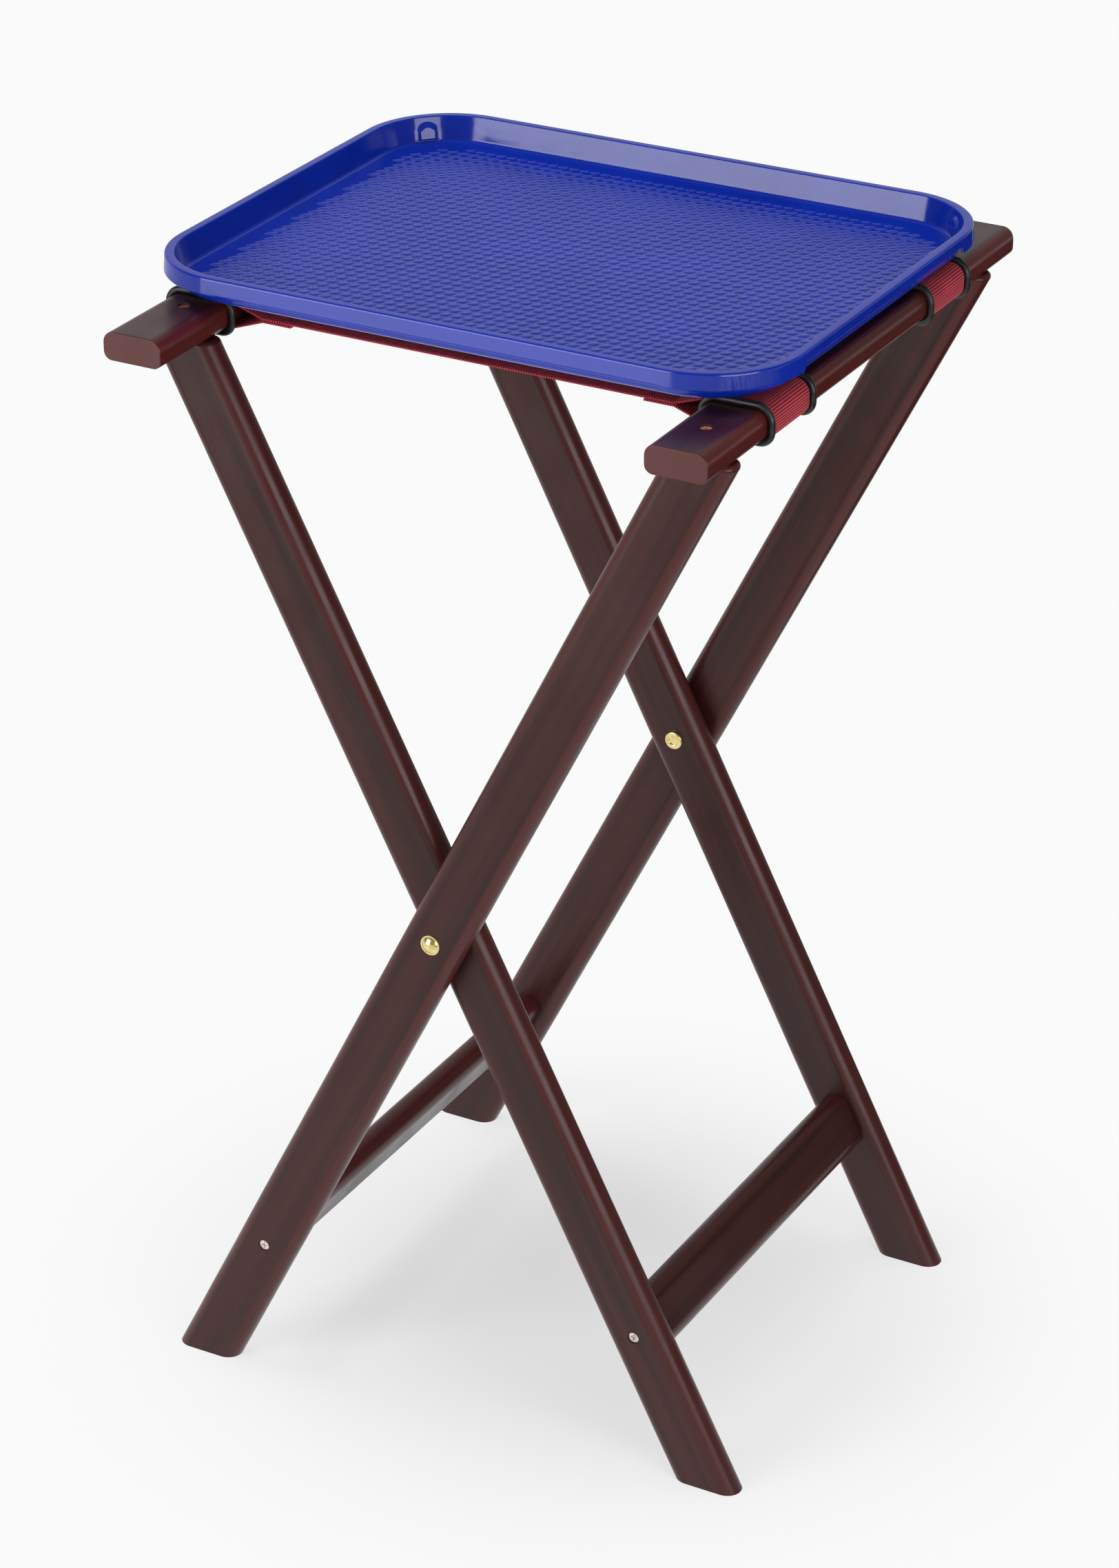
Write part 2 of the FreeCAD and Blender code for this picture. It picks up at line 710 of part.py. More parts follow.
def make_tray():
    """Shallow moulded tray with a drafted well and a rim whose skirt is cut away along the short sides."""
    body = doc.addObject("PartDesign::Body", "tray")
    skirt_bottom = "(tray_height - skirt_depth)"
    rim_block = tray_outline(body, "tray_rim", skirt_bottom, "0")
    pad(body, rim_block, "skirt_depth")
    sides = new_sketch(body, "tray_sides", "XY_Plane", skirt_bottom)
    add_rectangle(sides, "tray_length", "(tray_width / 2 - corner_reach)")
    pocket(body, sides, "side_cut", reverse=True)
    hollow = tray_outline(body, "tray_hollow", skirt_bottom, "tray_wall")
    pocket(body, hollow, "skirt_depth - rim_thickness", reverse=True)

    well_top = "rim_width"
    well_bottom = "(rim_width + (tray_height - tray_floor) * tan(wall_draft * 1 deg))"
    pan_bottom = "(rim_width - tray_wall + tray_height * tan(wall_draft * 1 deg))"
    pan_low = tray_outline(body, "tray_pan_low", "0", pan_bottom)
    pan_high = tray_outline(body, "tray_pan_high", "tray_height", "(rim_width - tray_wall)")
    loft(body, "AdditiveLoft", "tray_pan", pan_low, pan_high)
    fillet(body, "tray_heel", "floor_round", lambda edge: at_height(edge, 0))
    well_low = tray_outline(body, "tray_well_low", "tray_floor", well_bottom)
    well_high = tray_outline(body, "tray_well_high", "tray_height", well_top)
    require_cut(loft(body, "SubtractiveLoft", "tray_well", well_low, well_high))
    floor = value("tray_floor")
    fillet(body, "tray_floor_round", "floor_round", lambda edge: at_height(edge, floor))
    round_rim(body, "tray_rim_inside", "rim_inner_round", "rim_width")
    round_rim(body, "tray_rim_outside", "rim_outer_round", "0")
    resting_height = "rail_top_height + ring_clearance + ring_cord + tray_clearance"
    place(body, "-tray_shift_left", "tray_shift_back", resting_height)
    keep(body, "tray")


make_tray()


def check_document():
    """Stop if any object failed, or a sub-part's shape is missing or faulty."""
    doc.recompute()
    for item in doc.Objects:
        if "Invalid" in item.State or "Error" in item.State:
            raise RuntimeError(f"{item.Name} failed: {item.State}")
    for item in sub_parts:
        if item.Shape.isNull() or not item.Shape.isValid():
            raise RuntimeError(f"{item.Label} has no valid shape")


check_document()
os.makedirs("parts", exist_ok=True)
for item in sub_parts:
    item.Shape.exportStep(f"parts/{item.Label}.step")
    print(item.Label, len(item.Shape.Solids), round(item.Shape.Volume, 1))
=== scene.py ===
import math

import bmesh
import bpy
import numpy as np
from mathutils import Matrix, Vector


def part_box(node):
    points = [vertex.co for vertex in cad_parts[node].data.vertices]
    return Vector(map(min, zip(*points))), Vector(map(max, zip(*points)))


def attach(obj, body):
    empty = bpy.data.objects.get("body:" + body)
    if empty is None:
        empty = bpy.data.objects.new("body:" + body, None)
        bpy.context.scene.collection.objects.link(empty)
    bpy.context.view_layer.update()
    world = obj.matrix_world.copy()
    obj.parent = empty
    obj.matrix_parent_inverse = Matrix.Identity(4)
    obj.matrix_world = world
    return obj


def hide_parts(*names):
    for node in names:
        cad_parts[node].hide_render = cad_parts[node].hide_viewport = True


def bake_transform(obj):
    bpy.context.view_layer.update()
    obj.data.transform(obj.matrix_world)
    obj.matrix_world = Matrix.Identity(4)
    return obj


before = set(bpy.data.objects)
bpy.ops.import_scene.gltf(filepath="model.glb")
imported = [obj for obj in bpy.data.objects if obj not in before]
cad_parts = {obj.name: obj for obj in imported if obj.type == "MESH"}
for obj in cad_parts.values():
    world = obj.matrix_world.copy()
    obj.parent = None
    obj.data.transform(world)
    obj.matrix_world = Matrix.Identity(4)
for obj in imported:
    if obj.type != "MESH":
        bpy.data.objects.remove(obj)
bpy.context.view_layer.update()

# Lengths are in metres. X runs along the straps, Y along the rails and Z up.
MM = 0.001

# Where the picture is taken from: a place, angles in degrees and a focal length in pixels
IMAGE_HEIGHT = 2275
CAMERA_PLACE = Vector((1.3465, -2.4401, 1.8287))
CAMERA_AZIMUTH = 29.07
CAMERA_ELEVATION = 26.94
CAMERA_ROLL = -0.27
FOCAL_PIXELS = 6635.25
SENSOR = 36.0


def box_middle(node):
    """Middle of a CAD node's box."""
    low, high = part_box(node)
    return (low + high) / 2


def smooth_step(share):
    """Ease from 0 to 1 as a share goes from 0 to 1."""
    share = np.clip(share, 0.0, 1.0)
    return share * share * (3.0 - 2.0 * share)


# Nodes of the materials and the world

# Sockets of a Mix node that blends colours
MIX_SHARE = 0
MIX_FIRST = 6
MIX_SECOND = 7
MIX_RESULT = 2


class Nodes:
    """Node tree in the making, with short calls for its nodes."""

    def __init__(self, tree):
        self.tree = tree

    def put(self, socket, given):
        """Link a socket or set its value."""
        if isinstance(given, bpy.types.NodeSocket):
            self.tree.links.new(given, socket)
        else:
            socket.default_value = given

    def add(self, kind, inputs=None, **settings):
        """New node with its settings, and its inputs by name or number."""
        item = self.tree.nodes.new(f"ShaderNode{kind}")
        for name, setting in settings.items():
            setattr(item, name, setting)
        for key, given in (inputs or {}).items():
            self.put(item.inputs[key], given)
        return item

    def coordinates(self, output="Object"):
        """Texture coordinates of one kind."""
        return self.add("TexCoord").outputs[output]

    def dot(self, vector, direction):
        """How far a vector reaches along a direction."""
        item = self.add("VectorMath", {0: vector, 1: tuple(direction)}, operation="DOT_PRODUCT")
        return item.outputs["Value"]

    def calculate(self, operation, first, second):
        """One operation on two numbers."""
        return self.add("Math", {0: first, 1: second}, operation=operation).outputs[0]

    def stretch(self, vector, scale):
        """Vector with each axis scaled by itself."""
        item = self.add("VectorMath", {0: vector, 1: tuple(scale)}, operation="MULTIPLY")
        return item.outputs["Vector"]

    def noise(self, vector, scale, detail=2.0, roughness=0.5):
        """Soft noise between 0 and 1."""
        inputs = {"Vector": vector, "Scale": scale, "Detail": detail, "Roughness": roughness}
        return self.add("TexNoise", inputs).outputs[0]

    def span(self, given, low, high, to_low=0.0, to_high=1.0):
        """Share of the way from low to high, eased and kept between two ends."""
        inputs = {"Value": given, "From Min": low, "From Max": high, "To Min": to_low, "To Max": to_high}
        return self.add("MapRange", inputs, interpolation_type="SMOOTHSTEP").outputs["Result"]

    def blend(self, share, first, second):
        """Colour between two colours."""
        item = self.add("Mix", data_type="RGBA")
        for socket, given in ((MIX_SHARE, share), (MIX_FIRST, first), (MIX_SECOND, second)):
            if isinstance(given, tuple):
                given = (*given, 1.0)
            self.put(item.inputs[socket], given)
        return item.outputs[MIX_RESULT]

    def bump(self, height, distance, strength=1.0, normal=None):
        """Normal of a relief, on top of another one if given."""
        inputs = {"Height": height, "Distance": distance, "Strength": strength}
        if normal is not None:
            inputs["Normal"] = normal
        return self.add("Bump", inputs).outputs["Normal"]


class Shader(Nodes):
    """Material in the making."""

    def __init__(self, name):
        self.material = bpy.data.materials.new(name)
        self.material.use_nodes = True
        super().__init__(self.material.node_tree)
        self.surface = self.tree.nodes["Principled BSDF"]

    def finish(self, **inputs):
        """Set the surface's inputs, named with underscores for spaces."""
        for name, given in inputs.items():
            if isinstance(given, tuple):
                given = (*given, 1.0)
            self.put(self.surface.inputs[name.replace("_", " ")], given)
        return self.material


def paint(node, material):
    """Put one material on a CAD node."""
    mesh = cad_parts[node].data
    mesh.materials.clear()
    mesh.materials.append(material)


# Stained wood

WOOD_DARK = (0.022, 0.0056, 0.0056)
WOOD_MIDDLE = (0.044, 0.0100, 0.0094)
WOOD_RED = (0.056, 0.0092, 0.0076)
WOOD_RAIL_EDGE = (0.094, 0.0082, 0.0056)
WOOD_LEG_EDGE = (0.070, 0.0110, 0.0095)
WOOD_END = (0.082, 0.0105, 0.0090)
# Refraction of the lacquer, which is thicker on the rails
RAIL_LACQUER = 1.52
LEG_LACQUER = 1.40
# Smoothest and roughest lacquer, and how much rougher a sawn end is
LACQUER_SMOOTH = 0.26
LACQUER_ROUGH = 0.38
SAWN_ROUGHER = 0.2
LACQUER_RIPPLE = 0.6 * MM
PORE_DEPTH = 0.06 * MM
# Scales of the noises: across the face, through it and along the grain
BROAD_SCALE = (70, 70, 2.2)
STREAK_SCALE = (420, 420, 5.0)
PORE_SCALE = (1900, 1900, 42)
LAYER_SCALE = (45, 950, 45)
CLOUD_SCALE = 22.0
# Step in the noises from one wooden piece to the next
GRAIN_SHIFT = 0.37


def wood_material(name, grain, flat, shift, edge, refraction):
    """Dark red stain under satin lacquer, with the grain along one axis and flat faces across another."""
    shader = Shader(name)
    place = shader.coordinates()
    normal = shader.coordinates("Normal")
    across = grain.cross(flat)
    parts = [shader.dot(place, axis) for axis in (across, flat, grain)]
    local = shader.add("CombineXYZ", {0: parts[0], 1: parts[1], 2: parts[2]}).outputs[0]
    local = shader.add("VectorMath", {0: local, 1: (shift, shift, shift)}, operation="ADD").outputs[0]

    broad = shader.noise(shader.stretch(local, BROAD_SCALE), 1.0, 3.0, 0.55)
    streak = shader.noise(shader.stretch(local, STREAK_SCALE), 1.0, 4.0, 0.6)
    pores = shader.noise(shader.stretch(local, PORE_SCALE), 1.0, 2.0, 0.5)
    cloud = shader.noise(local, CLOUD_SCALE, 3.0, 0.5)
    layers = shader.noise(shader.stretch(local, LAYER_SCALE), 1.0, 2.0, 0.55)

    flat_share = shader.calculate("ABSOLUTE", shader.dot(normal, flat), 0.0)
    end_share = shader.calculate("ABSOLUTE", shader.dot(normal, grain), 0.0)
    flatness = shader.span(flat_share, 0.90, 0.985)
    end = shader.span(end_share, 0.72, 0.82)

    stain = shader.blend(shader.span(broad, 0.32, 0.70), WOOD_DARK, WOOD_MIDDLE)
    stain = shader.blend(shader.span(streak, 0.50, 0.78, 0.0, 0.75), stain, WOOD_RED)
    rounded = shader.blend(shader.span(streak, 0.30, 0.75, 0.3, 1.0), WOOD_MIDDLE, edge)
    stain = shader.blend(flatness, rounded, stain)
    stain = shader.blend(shader.span(pores, 0.58, 0.74, 0.0, 0.35), stain, WOOD_DARK)
    sawn = shader.blend(shader.span(layers, 0.48, 0.72, 0.0, 0.7), WOOD_END, WOOD_RED)
    sawn = shader.blend(shader.span(pores, 0.45, 0.75, 0.0, 0.5), sawn, WOOD_RED)
    colour = shader.blend(end, stain, sawn)

    sheen = shader.span(cloud, 0.3, 0.7, LACQUER_SMOOTH, LACQUER_ROUGH)
    rough = shader.calculate("ADD", sheen, shader.calculate("MULTIPLY", end, SAWN_ROUGHER))
    ripple = shader.bump(cloud, LACQUER_RIPPLE, 0.25)
    relief = shader.bump(pores, PORE_DEPTH, 0.5, ripple)
    return shader.finish(Base_Color=colour, Roughness=rough, Normal=relief, IOR=refraction)


def dress_wood():
    """Give every wooden node its own run of grain."""
    rail_x = box_middle("rail_right").x
    leg_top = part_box("leg_outer_near")[1].z
    lean = math.atan2(2 * rail_x, leg_top)
    along_y = Vector((0, 1, 0))
    up = Vector((0, 0, 1))
    runs = {}
    for frame_name, sign in (("outer", 1), ("inner", -1)):
        leg = Vector((sign * math.sin(lean), 0, math.cos(lean)))
        runs[f"leg_{frame_name}_near"] = (leg, along_y)
        runs[f"leg_{frame_name}_far"] = (leg, along_y)
        runs[f"stretcher_{frame_name}"] = (along_y, leg.cross(along_y))
    for side in ("right", "left"):
        runs[f"rail_{side}"] = (along_y, up)
    for count, (node, (grain, flat)) in enumerate(runs.items()):
        rail = node.startswith("rail")
        edge = WOOD_RAIL_EDGE if rail else WOOD_LEG_EDGE
        refraction = RAIL_LACQUER if rail else LEG_LACQUER
        paint(node, wood_material(f"wood_{node}", grain, flat, GRAIN_SHIFT * count, edge, refraction))


# Metal and rubber

# Finish of each metal: its bright and tarnished colours, the roughness of both and the metallic share
METALS = {
    "rivet_brass": ((0.90, 0.75, 0.36), (0.80, 0.62, 0.22), 0.14, 0.26, 0.85),
    "washer_steel": ((0.55, 0.54, 0.52), (0.40, 0.39, 0.37), 0.28, 0.42, 1.0),
    "screw_zinc": ((0.80, 0.74, 0.70), (0.58, 0.50, 0.46), 0.28, 0.44, 0.7),
    "screw_copper": ((0.86, 0.40, 0.24), (0.70, 0.30, 0.17), 0.34, 0.50, 0.6),
}
# Material of each kind of hardware, by how its nodes' names begin
HARDWARE = {
    "pivot_rivet": "rivet_brass",
    "pivot_washer": "washer_steel",
    "rail_screws": "screw_copper",
    "stretcher_screws": "screw_zinc",
    "rubber_ring": "ring_rubber",
}
TARNISH_SCALE = 260.0
SCRATCH_SCALE = (900, 4200, 2600)
SCRATCH_DEPTH = 0.02 * MM
RUBBER_BLACK = (0.0080, 0.0080, 0.0078)
RUBBER_BLOOM = (0.022, 0.023, 0.022)
RUBBER_REFRACTION = 1.52
RUBBER_SMOOTH = 0.34
RUBBER_ROUGH = 0.46
BLOOM_SCALE = 120.0
GRIT_SCALE = 2600.0
GRIT_DEPTH = 0.04 * MM


def metal_material(name, bright, dull, smooth, rough, metallic):
    """Plated metal with soft tarnish and fine scratches."""
    shader = Shader(name)
    place = shader.coordinates()
    tarnish = shader.noise(place, TARNISH_SCALE, 3.0, 0.6)
    scratch = shader.noise(shader.stretch(place, SCRATCH_SCALE), 1.0, 2.0, 0.5)
    colour = shader.blend(shader.span(tarnish, 0.40, 0.72), bright, dull)
    roughness = shader.span(tarnish, 0.3, 0.8, smooth, rough)
    relief = shader.bump(scratch, SCRATCH_DEPTH, 0.3)
    return shader.finish(Base_Color=colour, Metallic=metallic, Roughness=roughness, Normal=relief)


def rubber_material():
    """Near-black rubber with a faint bloom."""
    shader = Shader("ring_rubber")
    place = shader.coordinates()
    bloom = shader.noise(place, BLOOM_SCALE, 4.0, 0.6)
    grit = shader.noise(place, GRIT_SCALE, 2.0, 0.5)
    colour = shader.blend(shader.span(bloom, 0.40, 0.75), RUBBER_BLACK, RUBBER_BLOOM)
    roughness = shader.span(bloom, 0.3, 0.7, RUBBER_SMOOTH, RUBBER_ROUGH)
    relief = shader.bump(grit, GRIT_DEPTH, 0.4)
    return shader.finish(Base_Color=colour, Roughness=roughness, Normal=relief, IOR=RUBBER_REFRACTION)


def dress_hardware():
    """Finish the rivets, washers, screws and rings."""
    materials = {name: metal_material(name, *finish) for name, finish in METALS.items()}
    materials["ring_rubber"] = rubber_material()
    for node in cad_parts:
        for start, material in HARDWARE.items():
            if node.startswith(start):
                paint(node, materials[material])


# Meshes


def new_piece(name, points, faces, material):
    """Mesh object with smooth faces."""
    mesh = bpy.data.meshes.new(name)
    mesh.from_pydata([tuple(point) for point in points], [], faces)
    mesh.validate()
    piece = bpy.data.objects.new(name, mesh)
    bpy.context.scene.collection.objects.link(piece)
    mesh.polygons.foreach_set("use_smooth", [True] * len(mesh.polygons))
    mesh.materials.append(material)
    return piece


def fix_normals(piece):
    """Turn every face of a closed mesh outwards."""
    shape = bmesh.new()
    shape.from_mesh(piece.data)
    bmesh.ops.recalc_face_normals(shape, faces=shape.faces)
    shape.to_mesh(piece.data)
    shape.free()


def arc_points(centre, radius, start, end, count):
    """Points on a circle between two angles in degrees, both ends included."""
    angles = np.radians(np.linspace(start, end, count))
    return [(centre[0] + radius * math.cos(a), centre[1] + radius * math.sin(a)) for a in angles]


# Tray

TRAY_LOW, TRAY_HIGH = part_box("tray")
TRAY_CORNER = 63 * MM
RIM_WIDTH = 6.4 * MM
RIM_THICKNESS = 2.6 * MM
RIM_OUTER_ROUND = 1.3 * MM
RIM_INNER_ROUND = 0.9 * MM
TRAY_FLOOR = 2.6 * MM
TRAY_WALL = 2.4 * MM
WALL_DRAFT = math.radians(14.0)
FLOOR_ROUND = 3 * MM
HEEL_ROUND = 6 * MM
SKIRT_LONG_SIDE = 11.6 * MM
SKIRT_SHORT_SIDE = 7.0 * MM
SKIRT_CORNER = 12.2 * MM
SKIRT_THICKNESS = 2.0 * MM
SKIRT_FLARE = math.radians(4.0)
SKIRT_SHARES = (0.06, 0.35, 0.65, 0.94)
SKIRT_BEVEL = 0.5 * MM
# How far the deeper skirt of a corner reaches along the sides, and the length of the step there
CORNER_REACH = 64 * MM
STEP_LENGTH = 4 * MM
# Steps of the mesh along a side, round a corner and up the wall
OUTLINE_STEP = 2 * MM
CORNER_STEPS = 60
WALL_STEPS = 24
# Points on the rounds of the edge's section
FLOOR_ROUND_POINTS = 9
RIM_INNER_POINTS = 6
RIM_OUTER_POINTS = 7
SKIRT_EDGE_POINTS = 7
HEEL_ROUND_POINTS = 9
# Raised lug on the wall in each corner of the well, its foot and reach as shares of the wall's height
LUG_HALF = 8.5 * MM
LUG_HEIGHT = 1.3 * MM
LUG_FOOT = 0.30
LUG_REACH = 0.52
LUG_EDGE = 0.45
# Raised pads of the floor: two lattice directions, the size of a pad and its height
PAD_ROW = Vector((8.17 * MM, 0.0))
PAD_COLUMN = Vector((2.05 * MM, 8.25 * MM))
PAD_HALF = 3.6 * MM
PAD_SLOPE = 1.3 * MM
PAD_HEIGHT = 0.6 * MM
PAD_SQUARENESS = 5.0
PAD_BORDER = 6.0 * MM
PAD_LINES = (-0.5, -0.42, -0.34, -0.24, 0.0, 0.24, 0.34, 0.42)
TRAY_BLUE = (0.0035, 0.0210, 0.3100)
TRAY_BLUE_DEEP = (0.0028, 0.0175, 0.2700)
TRAY_REFRACTION = 1.53
TRAY_SMOOTH = 0.09
TRAY_ROUGH = 0.17
TRAY_CLOUD_SCALE = 14.0
SCUFF_SCALE = (60, 900, 60)
MOULD_GRAIN_SCALE = 3200.0
MOULD_GRAIN_DEPTH = 0.01 * MM


def tray_outline():
    """Places round the tray's outside.

    Each has its outward direction, the skirt's depth on that side, and its shares into a corner
    and off a lug.
    """
    half = (TRAY_HIGH - TRAY_LOW) / 2
    inner = Vector((half.x - TRAY_CORNER, half.y - TRAY_CORNER))
    rows = []
    sides = (
        (Vector((1, 0)), half.x, inner.y, SKIRT_SHORT_SIDE),
        (Vector((0, 1)), half.y, inner.x, SKIRT_LONG_SIDE),
        (Vector((-1, 0)), half.x, inner.y, SKIRT_SHORT_SIDE),
        (Vector((0, -1)), half.y, inner.x, SKIRT_LONG_SIDE),
    )
    for outward, distance, reach, depth in sides:
        along = Vector((-outward.y, outward.x))
        count = round(2 * reach / OUTLINE_STEP)
        for index in range(count):
            travel = -reach + 2 * reach * index / count
            to_corner = reach + TRAY_CORNER - abs(travel)
            corner = float(smooth_step((CORNER_REACH + STEP_LENGTH - to_corner) / STEP_LENGTH))
            rows.append((outward * distance + along * travel, outward, depth, corner, 1.0))
        turn = math.atan2(outward.y, outward.x)
        centre = outward * (distance - TRAY_CORNER) + along * reach
        for index in range(CORNER_STEPS):
            angle = turn + math.pi / 2 * index / CORNER_STEPS
            direction = Vector((math.cos(angle), math.sin(angle)))
            from_middle = abs(angle - turn - math.pi / 4) * (TRAY_CORNER - RIM_WIDTH)
            off_lug = min(from_middle / LUG_HALF, 1.0)
            rows.append((centre + direction * TRAY_CORNER, direction, depth, 1.0, off_lug))
    return rows


def lug_height(off_lug, rise):
    """Height of a lug with a rounded top, from shares of the way off its middle and up the wall."""
    above = max(rise - LUG_FOOT, 0.0) / LUG_REACH
    return LUG_HEIGHT * float(smooth_step((1.0 - math.hypot(off_lug, above)) / LUG_EDGE))


def tray_section(depth, off_lug):
    """Section of the tray's edge: insets from the outside and heights below the rim."""
    height = TRAY_HIGH.z - TRAY_LOW.z
    well = height - TRAY_FLOOR
    lean = math.tan(WALL_DRAFT)
    tilt = math.degrees(WALL_DRAFT)
    turn = math.tan(math.pi / 4 - WALL_DRAFT / 2)
    points = []
    floor_inset = RIM_WIDTH + well * lean + FLOOR_ROUND * turn
    floor_centre = (floor_inset, FLOOR_ROUND - well)
    points += arc_points(floor_centre, FLOOR_ROUND, 270, 180 + tilt, FLOOR_ROUND_POINTS)
    inner_centre = (RIM_WIDTH - RIM_INNER_ROUND * turn, -RIM_INNER_ROUND)
    inner_edge = arc_points(inner_centre, RIM_INNER_ROUND, tilt, 90, RIM_INNER_POINTS)
    foot = Vector(points[-1])
    wall = Vector(inner_edge[0]) - foot
    for step in range(1, WALL_STEPS):
        rise = step / WALL_STEPS
        place = foot + wall * rise
        points.append((place.x + lug_height(off_lug, rise), place.y))
    points += inner_edge
    flare = math.degrees(SKIRT_FLARE)
    outer_centre = (RIM_OUTER_ROUND, -RIM_OUTER_ROUND)
    points += arc_points(outer_centre, RIM_OUTER_ROUND, 90, 180 - flare, RIM_OUTER_POINTS)
    outer = -(depth - RIM_OUTER_ROUND) * math.tan(SKIRT_FLARE)
    edge = SKIRT_THICKNESS / 2
    for share in SKIRT_SHARES:
        below = RIM_OUTER_ROUND + (depth - edge - RIM_OUTER_ROUND) * share
        points.append((outer * share, -below))
    points += arc_points((outer + edge, edge - depth), edge, 180, 360, SKIRT_EDGE_POINTS)
    points.append((SKIRT_THICKNESS, -RIM_THICKNESS - SKIRT_BEVEL))
    points.append((SKIRT_THICKNESS + SKIRT_BEVEL, -RIM_THICKNESS))
    pan_top = RIM_WIDTH - TRAY_WALL + RIM_THICKNESS * lean
    points.append((pan_top, -RIM_THICKNESS))
    pan_bottom = RIM_WIDTH - TRAY_WALL + height * lean
    heel_centre = (pan_bottom + HEEL_ROUND * turn, HEEL_ROUND - height)
    points += arc_points(heel_centre, HEEL_ROUND, 180 + tilt, 270, HEEL_ROUND_POINTS)
    return points


def pad_height(place):
    """Height of the raised pad that a floor place lies on, from its distances from the pad's middle."""
    across = abs(place[0]) ** PAD_SQUARENESS + abs(place[1]) ** PAD_SQUARENESS
    radius = across ** (1 / PAD_SQUARENESS)
    return PAD_HEIGHT * float(smooth_step((PAD_HALF - radius) / PAD_SLOPE))


def inside_rounded(place, half_x, half_y, corner):
    """Whether a place lies inside a rounded rectangle about the origin."""
    over_x = max(abs(place[0]) - half_x + corner, 0.0)
    over_y = max(abs(place[1]) - half_y + corner, 0.0)
    return math.hypot(over_x, over_y) <= corner


def add_floor_pads(shape, floor_z, half_x, half_y, corner):
    """Lattice of pads inside a rounded rectangle, returned as its boundary edges."""
    grid = {}

    def lattice_vertex(row, line_row, column, line_column):
        key = (row, line_row, column, line_column)
        if key not in grid:
            share_row = PAD_LINES[line_row]
            share_column = PAD_LINES[line_column]
            place = PAD_ROW * (column + share_column) + PAD_COLUMN * (row + share_row)
            local = (share_column * PAD_ROW.x, share_row * PAD_COLUMN.y)
            height = pad_height(local) if 0 < line_row and 0 < line_column else 0.0
            grid[key] = shape.verts.new((place.x, place.y, floor_z + height))
        return grid[key]

    lines = len(PAD_LINES)
    rows = math.ceil(half_y / PAD_COLUMN.y) + 1
    columns = math.ceil((half_x + half_y) / PAD_ROW.x) + 1
    for row in range(-rows, rows + 1):
        for column in range(-columns, columns + 1):
            corners = []
            for share_row in (-0.5, 0.5):
                for share_column in (-0.5, 0.5):
                    corners.append(PAD_ROW * (column + share_column) + PAD_COLUMN * (row + share_row))
            if not all(inside_rounded(place, half_x, half_y, corner) for place in corners):
                continue
            for line_row in range(lines):
                next_row = (row, line_row + 1) if line_row + 1 < lines else (row + 1, 0)
                for line_column in range(lines):
                    last = line_column + 1 == lines
                    next_column = (column + 1, 0) if last else (column, line_column + 1)
                    shape.faces.new((
                        lattice_vertex(row, line_row, column, line_column),
                        lattice_vertex(row, line_row, *next_column),
                        lattice_vertex(*next_row, *next_column),
                        lattice_vertex(*next_row, column, line_column),
                    ))
    return [edge for edge in shape.edges if edge.is_boundary]


def make_tray():
    """Moulded tray: edge swept round the outline, raised pads on the floor and a plain underside."""
    shape = bmesh.new()
    half = (TRAY_HIGH - TRAY_LOW) / 2
    floor_z = TRAY_LOW.z + TRAY_FLOOR
    floor_inset = tray_section(SKIRT_LONG_SIDE, 1.0)[0][0] + PAD_BORDER
    pads_edge = add_floor_pads(
        shape, floor_z, half.x - floor_inset, half.y - floor_inset, TRAY_CORNER - floor_inset
    )
    rings = []
    for place, outward, depth, corner, off_lug in tray_outline():
        section = tray_section(depth + (SKIRT_CORNER - depth) * corner, off_lug)
        ring = []
        for inset, below in section:
            point = place - outward * inset
            ring.append(shape.verts.new((point.x, point.y, TRAY_HIGH.z + below)))
        rings.append(ring)
    inner_edge = []
    under_edge = []
    for ring, following in zip(rings, rings[1:] + rings[:1]):
        for index in range(len(ring) - 1):
            shape.faces.new((ring[index], following[index], following[index + 1], ring[index + 1]))
        inner_edge.append(shape.edges.get((ring[0], following[0])))
        under_edge.append(shape.edges.get((ring[-1], following[-1])))
    bmesh.ops.triangle_fill(shape, use_beauty=True, edges=pads_edge + inner_edge, normal=(0, 0, 1))
    bmesh.ops.triangle_fill(shape, use_beauty=True, edges=under_edge, normal=(0, 0, -1))
    middle = (TRAY_LOW + TRAY_HIGH) / 2
    bmesh.ops.translate(shape, vec=(middle.x, middle.y, 0.0), verts=shape.verts)
    bmesh.ops.recalc_face_normals(shape, faces=shape.faces)
    mesh = bpy.data.meshes.new("tray_moulding")
    shape.to_mesh(mesh)
    shape.free()
    mesh.polygons.foreach_set("use_smooth", [True] * len(mesh.polygons))
    mesh.materials.append(tray_material())
    piece = bpy.data.objects.new("tray_moulding", mesh)
    bpy.context.scene.collection.objects.link(piece)
    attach(piece, "tray")
    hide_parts("tray")


def tray_material():
    """Royal blue moulded plastic with light scuffs."""
    shader = Shader("tray_blue_plastic")
    place = shader.coordinates()
    cloud = shader.noise(place, TRAY_CLOUD_SCALE, 3.0, 0.5)
    scuff = shader.noise(shader.stretch(place, SCUFF_SCALE), 1.0, 3.0, 0.6)
    grain = shader.noise(place, MOULD_GRAIN_SCALE, 1.0, 0.5)
    colour = shader.blend(shader.span(cloud, 0.35, 0.65), TRAY_BLUE_DEEP, TRAY_BLUE)
    roughness = shader.span(scuff, 0.35, 0.75, TRAY_SMOOTH, TRAY_ROUGH)
    relief = shader.bump(grain, MOULD_GRAIN_DEPTH, 0.2)
    return shader.finish(Base_Color=colour, Roughness=roughness, Normal=relief, IOR=TRAY_REFRACTION)


# Webbing straps

